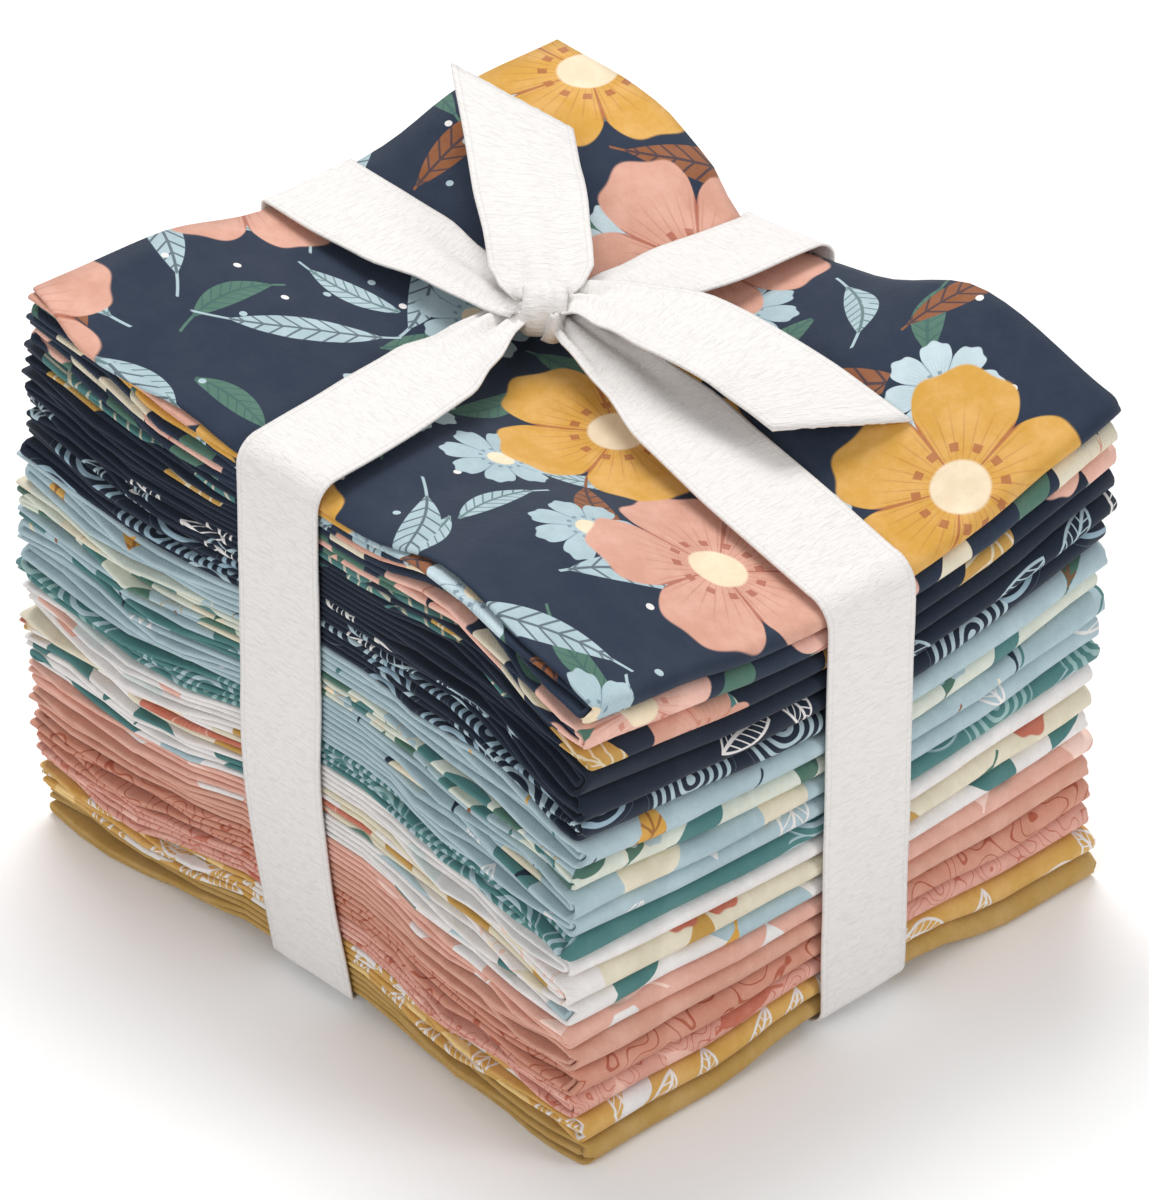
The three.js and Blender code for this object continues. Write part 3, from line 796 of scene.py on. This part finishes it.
# where its rows lie on each face: heights, and places under the stack
LEFT_ROWS, RISING_ROWS, FRONT_ROWS = (80, 60, 38), (20, 40, 60, 80), (66, 48, 30, 14)
SLANT_ROW = (20, 0.4)  # a height on the left band's slant, and how much of it is done there
UNDER_ROWS = (30, 68, 106)

ROW_STEP = 2.2  # between rows of faces along the ribbon
ACROSS_STEPS = 28  # faces over the ribbon's width


def edge_turn(out, up, radius, start, end, parts):
    """A turn of a band about an edge of the stack, as (out, up) points."""
    return [(p, z) for p, z, _, _ in arc(out, up, radius, start, end, parts)]


def long_band_rows():
    """From the knot over the left edge, under the stack and back over the right edge."""

    def flat_rows(points, y):
        return [(x, y, z, RIBBON_WIDE, 0, 0) for x, z in points]

    floor = GROOVE - RIBBON_OFF
    near, far = PINCH, WIDTH - PINCH
    (left_y, left_top), (right_y, right_top) = EDGE_LEFT, EDGE_RIGHT
    rows = list(STRAP_LEFT)
    bend = BEND_LEFT - RIBBON_OFF
    rows += flat_rows(edge_turn(near + bend, left_top - bend, BEND_LEFT, 90, 180, 6), left_y)
    rows += flat_rows([(near - RIBBON_OFF, z) for z in LEFT_ROWS], left_y)
    slant_z, done = SLANT_ROW
    rows += flat_rows([(near - RIBBON_OFF, slant_z)], lerp(left_y, LEFT_FOOT, done))
    rows += flat_rows(edge_turn(near, GROOVE, RIBBON_OFF, 180, 270, 3), LEFT_FOOT)
    for x, drop in UNDERPASS:
        rows += flat_rows([(x, floor - drop)], lerp(LEFT_FOOT, right_y, x / WIDTH))
    rows += flat_rows(edge_turn(far, GROOVE, RIBBON_OFF, 270, 360, 3), right_y)
    rows += flat_rows([(far + RIBBON_OFF, z) for z in RISING_ROWS], right_y)
    bend = BEND_RIGHT - RIBBON_OFF
    turn = edge_turn(far - bend, right_top - bend, BEND_RIGHT, 0, 90, 4)
    turn[0] = (turn[0][0], turn[0][1] - TILT_START)
    rows += [(x, right_y, z, RIBBON_WIDE, 0, RIGHT_ROLL * k / 4) for k, (x, z) in enumerate(turn)]
    return rows + list(STRAP_RIGHT)


def cross_band_rows():
    """From the knot over the rounded folds, under the stack and up the back."""

    def flat_rows(points, x):
        return [(x, y, z, RIBBON_WIDE, 0, 0) for y, z in points]

    fold_middle = FOLD + PINCH
    round_fold = FOLD + RIBBON_OFF
    bend = BEND_FRONT - round_fold
    far = DEPTH - PINCH
    (front_x, front_top), (back_x, back_top) = EDGE_FRONT, EDGE_BACK
    high = front_top - FOLD - bend
    rows = list(STRAP_FRONT)
    rows += flat_rows(edge_turn(fold_middle + bend, high, BEND_FRONT, 90, 180, 6), front_x)
    rows += flat_rows([(fold_middle - round_fold, z) for z in FRONT_ROWS], front_x)
    rows += flat_rows(edge_turn(fold_middle, GROOVE + FOLD, round_fold, 180, 270, 5), front_x)
    for y in UNDER_ROWS:
        rows += flat_rows([(y, GROOVE - RIBBON_OFF)], lerp(front_x, back_x, y / DEPTH))
    rows += flat_rows(edge_turn(far, GROOVE, RIBBON_OFF, 270, 360, 3), back_x)
    rows += flat_rows([(far + RIBBON_OFF, z) for z in RISING_ROWS], back_x)
    rows += flat_rows(edge_turn(far, back_top, RIBBON_OFF, 0, 90, 3), back_x)
    return rows + list(STRAP_BACK)


def smoothed(rows, step):
    """Rows passed through smoothly, one about every step millimetres."""
    points = [Vector(row[:3]) for row in rows]
    points = [points[0] * 2 - points[1], *points, points[-1] * 2 - points[-2]]
    result = []
    for k in range(len(rows) - 1):
        before, start, end, after = points[k : k + 4]
        chord = (end - start).length
        slope_in = (end - before) * (chord / max(chord + (start - before).length, 1e-6))
        slope_out = (after - start) * (chord / max(chord + (after - end).length, 1e-6))
        parts = max(2, round(chord / step))
        for i in range(parts + (k == len(rows) - 2)):
            part = i / parts
            rest = [lerp(a, b, smooth(part)) for a, b in zip(rows[k][3:], rows[k + 1][3:])]
            result.append((curve(start, slope_in, end, slope_out, part), rest))
    return result


PLEATS = 3  # folds that gather the ribbon toward the knot
PLEAT_DEPTH = 0.2  # the share of the gathered width that they take up in height
PLEATS_FROM, PLEATS_WHOLE = 15, 6  # the ribbon's width where they start, and where they are whole
RIPPLE = 0.25  # how high the ribbon's own waves are
REST = 0.45  # from the cloth to the middle of the ribbon on it
CUT_UNEVEN = 0.4  # how far a scissor cut strays from straight


def ribbon_sheet(name, rows, side_of, material, thickness, on_cloth, seed):
    """A stretch of ribbon through a run of rows, gathered where it narrows."""
    run = smoothed(rows, ROW_STEP)
    last = len(run) - 1
    frames = []
    length = 0
    for k, (point, rest) in enumerate(run):
        ahead, behind = run[min(k + 1, last)][0], run[max(k - 1, 0)][0]
        along = (ahead - behind).normalized()
        if k:
            length += (point - run[k - 1][0]).length
        roll = math.radians(rest[2])
        side = side_of(along)
        up = along.cross(side)
        side = side * math.cos(roll) + up * math.sin(roll)
        frames.append((point, along, side, along.cross(side), rest, length))

    def place(i, j):
        point, along, side, up, rest, at = frames[j]
        width, pleat = rest[0], rest[1]
        skew = rest[3] if len(rest) > 3 else 0
        share = i / ACROSS_STEPS - 0.5
        gathered = max(0, RIBBON_WIDE**2 - width**2)
        narrowed = smooth((PLEATS_FROM - width) / (PLEATS_FROM - PLEATS_WHOLE))
        fine = PLEAT_DEPTH * math.sqrt(gathered) / (2 * PLEATS) * narrowed
        uneven = share + 0.03 * math.sin(math.tau * share * 1.4 + seed)
        crest = fine * math.sin(math.tau * PLEATS * uneven + seed)
        crest += pleat * math.cos(4 * math.pi * share)
        crest += wave(RIPPLE, share * 2.2, at / 14, seed)
        spot = point + side * (share * width) + along * (share * skew) + up * crest
        if on_cloth and spot.z > top_height(spot.x, spot.y) - 4:
            rim = min(spot.x, WIDTH - spot.x, spot.y - FOLD, DEPTH - spot.y)
            inside = clamp((rim - PINCH) / 2)
            lowest = rumpled(spot.x, spot.y, top_height(spot.x, spot.y))[2] + REST
            spot.z = lerp(spot.z, max(spot.z, lowest), inside)
        if j == last and not on_cloth:
            spot += along * wave(CUT_UNEVEN, i * 0.7, seed, 0)
        return placed(*spot)

    piece = new_sheet(
        name, ACROSS_STEPS + 1, len(run), place,
        lambda i, j: (RIBBON_WIDE * i / ACROSS_STEPS, frames[j][5]), thickness, material,
    )
    return piece, length


# ---- Settings, operators and panel ----


DISTANCE = {"subtype": "DISTANCE", "unit": "LENGTH"}
ANGLE = {"subtype": "ANGLE", "unit": "ROTATION"}
PAINT = {"size": 4, "min": 0, "max": 1, "subtype": "COLOR"}


class BundleCloth(bpy.types.PropertyGroup):
    cloth_thickness: FloatProperty(
        name="Cloth thickness", description="Thickness of one ply of cotton",
        default=0.0002, min=0.0001, max=0.0003, **DISTANCE,
    )


class BundleRibbon(bpy.types.PropertyGroup):
    colour: FloatVectorProperty(
        name="Ribbon colour", description="Colour of the undyed ribbon",
        default=linear("#e9e5e2"), **PAINT,
    )
    thickness: FloatProperty(
        name="Ribbon thickness", description="Thickness of the ribbon",
        default=0.0004, min=0.0002, max=0.0006, **DISTANCE,
    )


class BundleStage(bpy.types.PropertyGroup):
    floor_colour: FloatVectorProperty(
        name="Floor colour", description="Colour of the paper floor",
        default=linear("#fbfbfb"), **PAINT,
    )
    distance: FloatProperty(
        name="Camera distance", description="From the camera to the bundle",
        default=1.638, min=0.5, **DISTANCE,
    )
    azimuth: FloatProperty(
        name="Azimuth", description="Where the camera stands around the bundle",
        default=math.radians(-43.247), **ANGLE,
    )
    elevation: FloatProperty(
        name="Elevation", description="How high the camera looks from",
        default=math.radians(34.815), **ANGLE,
    )
    roll: FloatProperty(
        name="Roll", description="Tilt of the view", default=math.radians(0.195), **ANGLE,
    )
    focal_pixels: FloatProperty(
        name="Focal length", description="In pixels of a 1149 by 1200 picture", default=9808.4,
    )


# Where the faces of the top cloth meet, and those of the others, in millimetres
COVER_X = (
    1, 2.5, 4.5, 7, 10, 13.5, 17, *range(21, 54, 4), *range(58, 74, 5), *range(77, 110, 4),
    112.5, 115, WIDTH,
)
COVER_Y = (4, 6, 8.5, 11.5, 15, *range(19, 128, 4), 130.5)
PLAIN_X = (
    1.2, 3, 6, 10, 15, *range(21, 50, 7), 57, 66, *range(75, 97, 7), 104, 111, WIDTH,
)
PLAIN_Y = (
    5, 9, 14, 20, 26, *range(32, 57, 8), *range(63, 80, 8), 86, 91, 97, 103, 110, 118, 126,
)


class OBJECT_OT_add_fat_quarters(bpy.types.Operator):
    """Adds the twenty folded cuts of cotton"""

    bl_idname = "object.add_fat_quarters"
    bl_label = "Add Fat Quarters"

    def execute(self, context):
        settings = context.scene.bundle_cloth
        groups = {"scatter": scatter_group(), "bloom": bloom_group(), "leaf": leaf_group()}
        level = HEIGHT
        for index, row in enumerate(CLOTHS):
            number = index + 1
            level -= row[0]
            thick = row[0] - CLEARANCE
            ply = (thick - (LAYERS - 1) * PLY_GAP) / LAYERS
            cover = index == 0
            columns = plies_across(ply, COVER_X if cover else PLAIN_X)
            rows = layers_along(thick, COVER_Y if cover else PLAIN_Y)
            material = printed_cotton(number, groups)
            sides, base = row[1:], level

            def place(i, j):
                return cloth_point(
                    sides, base, ply + PLY_GAP, columns[i][0], columns[i][1], rows[j]
                )

            def flat_place(i, j):
                return columns[i][2], rows[j][4]

            piece = new_sheet(
                f"folded_cut_{number:02d}", len(columns), len(rows), place, flat_place,
                settings.cloth_thickness, material,
            )
            stand_in_for(piece, f"fat_quarter_{number:02d}")
        return {"FINISHED"}


class OBJECT_OT_add_ribbon(bpy.types.Operator):
    """Adds the two bands and the two free ends of the ribbon"""

    bl_idname = "object.add_bundle_ribbon"
    bl_label = "Add Ribbon"

    def execute(self, context):
        settings = context.scene.bundle_ribbon
        material = crinkled_ribbon("crepe_ribbon", tuple(settings.colour))
        up = Vector((0, 0, 1))

        def level_side(along):
            return up.cross(along).normalized()

        parts = (
            ("long_band", long_band_rows(), lambda along: Vector((0, 1, 0)), True, 1.1),
            ("cross_band", cross_band_rows(), lambda along: Vector((1, 0, 0)), True, 2.7),
            ("back_end", list(TAIL_BACK), level_side, False, 4.2),
            ("front_end", list(TAIL_FRONT), level_side, False, 5.9),
        )
        for name, rows, side_of, on_cloth, seed in parts:
            piece, length = ribbon_sheet(
                f"crepe_{name}", rows, side_of, material, settings.thickness, on_cloth, seed
            )
            stand_in_for(piece, f"ribbon_{name}")
        return {"FINISHED"}


KNOT_TURN = math.radians(-43.3)  # its axis, from +X
KNOT_OUT, KNOT_UP, KNOT_HALF = 4.9, 4.7, 3.55  # from its middle: out, up and along its axis
WRAP_TURNS = 1.18  # the times that the ribbon goes round it
WRAP_START = math.radians(205)  # where the wrap begins, from level at its far side
WRAP_INSIDE = 0.88  # the size of the wrap's inner end, to that of the whole knot
WRAP_ROWS, FACE_COLUMNS = 72, 14  # faces round the wrap, and over its width
# The turned-under edge of the wrap, from its inner end: place along the axis, and how deep
TURNED_EDGE = ((-0.9, 2.2), (-2.1, 1.9), (-2.95, 1.1), (-3.4, 0.45))
TUCK_COLUMNS, TUCK_ROWS = 14, 12


def knot_place(along, out, up):
    """A point of the knot, along its axis, out from it and up."""
    x = KNOT[0] + along * math.cos(KNOT_TURN) - out * math.sin(KNOT_TURN)
    y = KNOT[1] + along * math.sin(KNOT_TURN) + out * math.cos(KNOT_TURN)
    return placed(x, y, KNOT[2] + up)


def barrel(along):
    """How full the knot is along its axis, from 1 at its middle."""
    return 1 - 0.3 * abs(along / KNOT_HALF) ** 2.4


class OBJECT_OT_add_knot(bpy.types.Operator):
    """Adds the knot, a wrap of ribbon with its edges turned under, and its tuck"""

    bl_idname = "object.add_bundle_knot"
    bl_label = "Add Knot"

    def execute(self, context):
        material = bpy.data.materials["crepe_ribbon"]
        thickness = context.scene.bundle_ribbon.thickness
        # across the wrap: a turned-under edge, the face, the other edge
        section = list(TURNED_EDGE)
        section += [
            (lerp(-KNOT_HALF, KNOT_HALF, k / FACE_COLUMNS), 0) for k in range(FACE_COLUMNS + 1)
        ]
        section += [(-along, deep) for along, deep in reversed(TURNED_EDGE)]
        lengths = with_lengths(section)
        length = math.pi * (KNOT_OUT + KNOT_UP) * WRAP_INSIDE * WRAP_TURNS

        def place(i, j):
            along, deep = section[i]
            angle = math.tau * WRAP_TURNS * j / WRAP_ROWS + WRAP_START
            grow = lerp(WRAP_INSIDE, 1.0, smooth(1.5 * j / WRAP_ROWS))
            # two soft creases, a little unevenness, and one fold that slants over the face
            crease = 0.14 * math.sin(along * 1.7 + 0.9 * math.sin(angle + 0.6))
            spot = Vector((along / 2.2, 1.4 * math.cos(angle), 1.4 * math.sin(angle)))
            crease += 0.2 * noise.noise(spot)
            fold = along - 0.5 + 1.7 * math.cos(angle + 0.4)
            crease -= 0.5 * math.exp(-((fold / 0.55) ** 2))
            fullness = barrel(along) * grow
            out = (KNOT_OUT * fullness - deep + crease) * math.cos(angle)
            up = (KNOT_UP * fullness - deep + crease) * math.sin(angle)
            sway = 0.5 * math.sin(angle)
            return knot_place(along + sway, out, up)

        piece = new_sheet(
            "crepe_knot", len(section), WRAP_ROWS + 1, place,
            lambda i, j: (lengths[i][2], length * j / WRAP_ROWS), thickness, material,
        )
        stand_in_for(piece, "ribbon_knot")

        def tuck_place(i, j):
            share, drop = i / TUCK_COLUMNS - 0.5, j / TUCK_ROWS
            width = lerp(0.8, 4.6, drop**0.8)
            up = 2 - 6.2 * drop - 0.6 * math.cos(math.pi * share) * drop
            along = 1.7 + share * width
            hug = math.sqrt(max(1 - (up / KNOT_UP / 1.05) ** 2, 0.1)) * KNOT_OUT * barrel(along)
            lift = 0.5 + (0.5 + 0.8 * drop) * math.cos(math.pi * share)
            return knot_place(along + 0.25, -hug - lift, up)

        tuck = new_sheet(
            "crepe_tuck", TUCK_COLUMNS + 1, TUCK_ROWS + 1, tuck_place,
            lambda i, j: (10 * i / TUCK_COLUMNS, 7 * j / TUCK_ROWS), thickness, material,
        )
        stand_in_for(tuck, "ribbon_tuck")
        return {"FINISHED"}


FLOOR_HALF = 6  # half the floor's side, in metres
SOFTBOXES = (  # where it stands, side in metres, watts
    ("back_softbox", (0.35, 0.6, 1.4), 0.8, 16.5),
    ("side_softbox", (-1.3, -0.35, 0.9), 0.7, 6.4),
    ("front_softbox", (0.7, -1.4, 0.8), 0.7, 7.6),
)
AIR_LIGHT = 0.44  # strength of the light from all round
PICTURE_HIGH = 1200  # pixels
AIM = (WIDTH / 2 + 1.12, DEPTH / 2 + 0.49, 50)  # what the camera looks at, near the middle


class OBJECT_OT_add_bundle_stage(bpy.types.Operator):
    """Adds the floor, the lights and the camera"""

    bl_idname = "object.add_bundle_stage"
    bl_label = "Add Stage"

    def execute(self, context):
        stage = context.scene.bundle_stage
        # matt paper, so the floor keeps its shadows and shows no reflection
        material, add = new_material("matt_paper_floor")
        surface = add(
            "ShaderNodeBsdfPrincipled",
            named={
                "Base Color": tuple(stage.floor_colour), "Roughness": 0.95,
                "Specular IOR Level": 0.1,
            },
        )
        add("ShaderNodeOutputMaterial", surface)
        bm = bmesh.new()
        bmesh.ops.create_grid(bm, x_segments=1, y_segments=1, size=FLOOR_HALF)
        finished(bm, "studio_floor", material)

        middle = Vector((0, 0, 0.05))
        for name, spot, side, power in SOFTBOXES:
            lamp = bpy.data.lights.new(name, "AREA")
            lamp.size = side
            lamp.energy = power
            item = new_object(name, lamp)
            item.location = spot
            item.rotation_euler = (middle - item.location).to_track_quat("-Z", "Y").to_euler()
        world = bpy.data.worlds.new("studio_air")
        world.use_nodes = True
        air = world.node_tree.nodes["Background"].inputs
        air["Color"].default_value = (1, 1, 1, 1)
        air["Strength"].default_value = AIR_LIGHT
        context.scene.world = world
        context.scene.view_settings.view_transform = "Standard"

        lens = bpy.data.cameras.new("photo_view")
        lens.sensor_fit = "VERTICAL"
        lens.sensor_height = 36
        lens.lens = stage.focal_pixels * lens.sensor_height / PICTURE_HIGH
        lens.clip_end = 20
        turn_a, turn_e = stage.azimuth, stage.elevation
        back = Vector((
            math.sin(turn_a) * math.cos(turn_e), -math.cos(turn_a) * math.cos(turn_e),
            math.sin(turn_e),
        ))
        right = Vector((math.cos(turn_a), math.sin(turn_a), 0))
        up = back.cross(right)
        aim = placed(*AIM)
        camera = new_object("photo_view", lens)
        rolled = right * math.cos(stage.roll) + up * math.sin(stage.roll)
        upright = back.cross(rolled)
        rows = [
            (rolled[i], upright[i], back[i], aim[i] + back[i] * stage.distance) for i in range(3)
        ]
        camera.matrix_world = Matrix((*rows, (0, 0, 0, 1)))
        context.scene.camera = camera
        return {"FINISHED"}


class VIEW3D_PT_bundle(bpy.types.Panel):
    """Lists the bundle's settings, and the buttons that add its pieces"""

    bl_idname = "VIEW3D_PT_bundle"
    bl_label = "Fat Quarter Bundle"
    bl_space_type = "VIEW_3D"
    bl_region_type = "UI"
    bl_category = "Bundle"

    def draw(self, context):
        for name, group in GROUPS:
            for setting in group.__annotations__:
                self.layout.prop(getattr(context.scene, name), setting)
        for item in OPERATORS:
            self.layout.operator(item.bl_idname)


GROUPS = (
    ("bundle_cloth", BundleCloth),
    ("bundle_ribbon", BundleRibbon),
    ("bundle_stage", BundleStage),
)
OPERATORS = (
    OBJECT_OT_add_fat_quarters, OBJECT_OT_add_ribbon, OBJECT_OT_add_knot,
    OBJECT_OT_add_bundle_stage,
)


def register():
    for name, group in GROUPS:
        bpy.utils.register_class(group)
        setattr(bpy.types.Scene, name, PointerProperty(type=group))
    for item in (*OPERATORS, VIEW3D_PT_bundle):
        bpy.utils.register_class(item)


def unregister():
    for item in (VIEW3D_PT_bundle, *reversed(OPERATORS)):
        bpy.utils.unregister_class(item)
    for name, group in reversed(GROUPS):
        delattr(bpy.types.Scene, name)
        bpy.utils.unregister_class(group)


def main():
    register()
    bpy.ops.object.add_bundle_stage()
    bpy.ops.object.add_fat_quarters()
    bpy.ops.object.add_bundle_ribbon()
    bpy.ops.object.add_bundle_knot()


if __name__ == "__main__":
    main()
